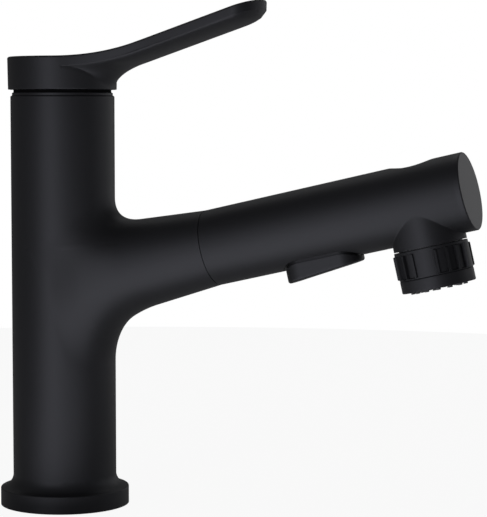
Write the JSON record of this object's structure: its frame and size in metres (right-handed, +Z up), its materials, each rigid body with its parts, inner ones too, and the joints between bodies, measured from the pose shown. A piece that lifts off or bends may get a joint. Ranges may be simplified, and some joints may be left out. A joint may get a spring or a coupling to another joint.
{
  "type": "pull-out basin faucet",
  "caption": "Matte black basin mixer: round column with a flared foot, rising lever handle, and a sloping spout whose outer part is a pull-out spray head with a rocker button.",
  "frame": {"origin": "centre of the foot on the deck", "axes": "+Z up along the column, +X towards the spout's nozzle, +Y to the hot side"},
  "size_m": [0.2078, 0.0548, 0.2129],
  "materials": {
    "black_coat": "matte powder coat",
    "black_shell": "matte black lacquer",
    "black_plastic": "matte, moulded",
    "grey_cap": "satin",
    "grey_plastic": "moulded",
    "white_plastic": "moulded",
    "black_rubber": "matte",
    "grey_rubber": "soft matte",
    "brass": "turned",
    "steel": "turned",
    "ceramic": "lapped ceramic",
    "hose_braid": "braided sleeve"
  },
  "bodies": {
    "mixer_body": {"body_casting": "black_coat", "foot_gasket": "black_rubber", "foot_block": "brass", "hot_pipe": "brass", "cold_pipe": "brass", "mixed_pipe": "brass", "spray_hose": "hose_braid", "hose_coupling": "brass", "dock_bush": "grey_plastic", "cartridge_base": "white_plastic", "port_seals": "black_rubber", "fixed_disc": "ceramic", "cartridge_housing": "white_plastic", "cartridge_nut": "brass", "neck_ring": "black_coat"},
    "turret": {"cartridge_turret": "grey_plastic", "pivot_pin": "steel"},
    "disc_slider": {"moving_disc": "ceramic", "disc_carrier": "grey_plastic"},
    "lever": {"lever_stem": "steel", "handle": "black_coat", "set_screw": "steel", "screw_plug": "black_plastic"},
    "spray_head": {"head_shell": "black_shell", "head_end_cap": "grey_cap", "head_spigot": "grey_plastic", "spigot_seal": "black_rubber", "check_valve": "white_plastic", "swivel_nut": "brass", "hose_ferrule": "steel", "head_core": "white_plastic", "rocker_pin": "steel", "nozzle_nipple": "grey_plastic"},
    "rocker": {"rocker_button": "black_plastic"},
    "spool": {"diverter_spool": "grey_plastic", "spool_seals": "black_rubber"},
    "nozzle": {"nozzle_ring": "black_plastic", "nozzle_seal": "black_rubber", "spray_distributor": "grey_plastic", "nozzle_pad": "grey_rubber", "spray_face": "black_plastic", "aerator_insert": "grey_plastic"}
  },
  "joints": [
    {"name": "handle_swing", "type": "hinge", "parent": "mixer_body", "child": "turret", "pos_m": [0, 0, 0.163], "axis": [0, 0, 1], "range_deg": [-45, 45]},
    {"name": "handle_lift", "type": "hinge", "parent": "turret", "child": "lever", "pos_m": [0, 0, 0.163], "axis": [0, -1, 0], "range_deg": [0, 20]},
    {"name": "disc_slide", "type": "slide", "parent": "turret", "child": "disc_slider", "axis": [1, 0, 0], "range_m": [0, 0.0034]},
    {"name": "spray_pull", "type": "slide", "parent": "mixer_body", "child": "spray_head", "axis": [0.9746, 0, 0.2238], "range_m": [0, 0.45]},
    {"name": "rocker_tilt", "type": "hinge", "parent": "spray_head", "child": "rocker", "pos_m": [0.11659, 0, 0.11108], "axis": [0, 1, 0], "range_deg": [0, 8]},
    {"name": "spool_slide", "type": "slide", "parent": "spray_head", "child": "spool", "axis": [0.9746, 0, 0.2238], "range_m": [0, 0.0014]},
    {"name": "nozzle_turn", "type": "hinge", "parent": "spray_head", "child": "nozzle", "pos_m": [0.1609, 0, 0.11428], "axis": [0.2238, 0, -0.9746], "range_deg": [0, 90]}
  ],
  "couplings": [
    {"joint": "disc_slide", "follows": "handle_lift", "m_per_rad": 0.0095},
    {"joint": "spool_slide", "follows": "rocker_tilt", "m_per_rad": 0.0094}
  ]
}
